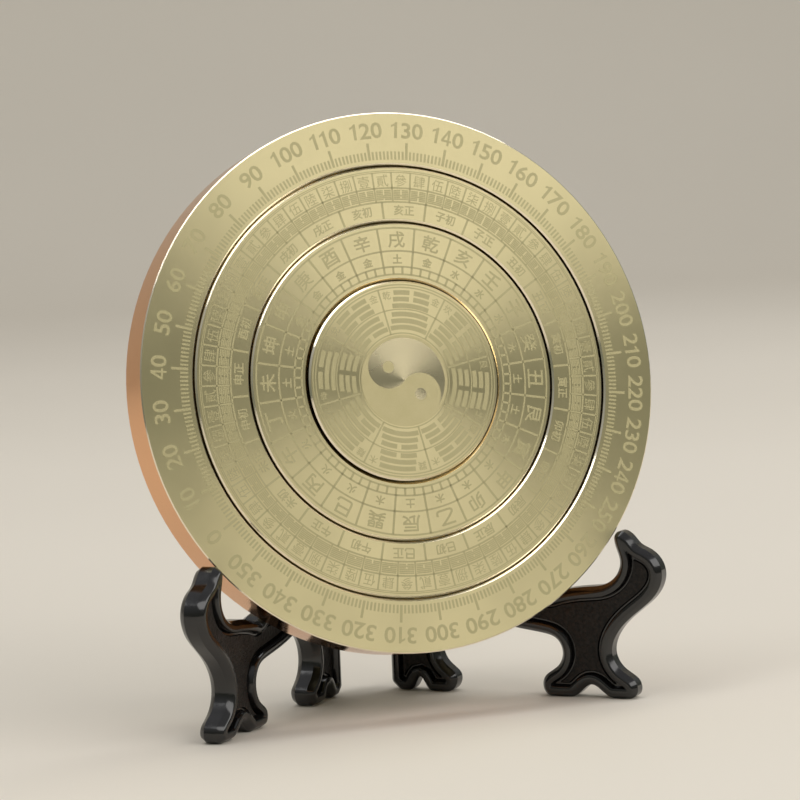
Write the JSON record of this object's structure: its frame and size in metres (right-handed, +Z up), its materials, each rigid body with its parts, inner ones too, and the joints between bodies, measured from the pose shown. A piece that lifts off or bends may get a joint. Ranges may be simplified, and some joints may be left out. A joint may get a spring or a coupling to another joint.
{
  "type": "feng shui compass",
  "caption": "Round brass dial compass with concentric rings that turn, leaning on a black folding plate stand.",
  "frame": {"origin": "on the ground, at the middle of the whole object's box, between the two side frames of the stand", "axes": "+Z up; the dial faces -Y and leans back towards +Y; +X is to the right as seen from the front"},
  "size_m": [0.1, 0.0476, 0.1114],
  "materials": {
    "brass": "satin turned",
    "steel": "polished",
    "slip_plastic": "matte",
    "stand_plastic": "gloss moulded"
  },
  "bodies": {
    "hinge_pins": {"lower_hinge_pin": "steel", "upper_hinge_pin": "steel"},
    "compass": {"outer_dial_ring": "brass", "back_plate": "brass", "back_plate_screws": "steel", "centre_washer": "steel", "outer_slip_ring": "slip_plastic", "middle_slip_ring": "slip_plastic", "inner_slip_ring": "slip_plastic", "hexagram_detent_balls": "steel", "mountain_detent_balls": "steel", "trigram_detent_balls": "steel", "hexagram_detent_springs": "steel", "mountain_detent_springs": "steel", "trigram_detent_springs": "steel"},
    "hexagram_ring": {"hexagram_ring": "brass"},
    "mountain_ring": {"mountain_ring": "brass"},
    "trigram_disc": {"trigram_disc": "brass", "centre_screw": "steel"},
    "right_frame": {"right_stand_frame": "stand_plastic"},
    "left_frame": {"left_stand_frame": "stand_plastic"}
  },
  "joints": [
    {"name": "compass_lift", "type": "slide", "parent": "hinge_pins", "child": "compass", "axis": [0, 0, 1], "range_m": [0, 0.12]},
    {"name": "hexagram_ring_turn", "type": "hinge", "parent": "compass", "child": "hexagram_ring", "pos_m": [0, -0.01078, 0.06214], "axis": [0, -0.9865, 0.1635], "continuous": true},
    {"name": "mountain_ring_turn", "type": "hinge", "parent": "compass", "child": "mountain_ring", "pos_m": [0, -0.01078, 0.06214], "axis": [0, -0.9865, 0.1635], "continuous": true},
    {"name": "trigram_disc_turn", "type": "hinge", "parent": "compass", "child": "trigram_disc", "pos_m": [0, -0.01078, 0.06214], "axis": [0, -0.9865, 0.1635], "continuous": true},
    {"name": "right_frame_fold", "type": "hinge", "parent": "hinge_pins", "child": "right_frame", "pos_m": [0, 0.02021, 0.03], "axis": [0, 0, -1], "range_deg": [0, 45.01]},
    {"name": "left_frame_fold", "type": "hinge", "parent": "hinge_pins", "child": "left_frame", "pos_m": [0, 0.02021, 0.03], "axis": [0, 0, 1], "range_deg": [0, 45.01]}
  ],
  "couplings": [
    {"joint": "right_frame_fold", "follows": "compass_lift", "rad_per_m": 6.545},
    {"joint": "left_frame_fold", "follows": "compass_lift", "rad_per_m": 6.545}
  ]
}
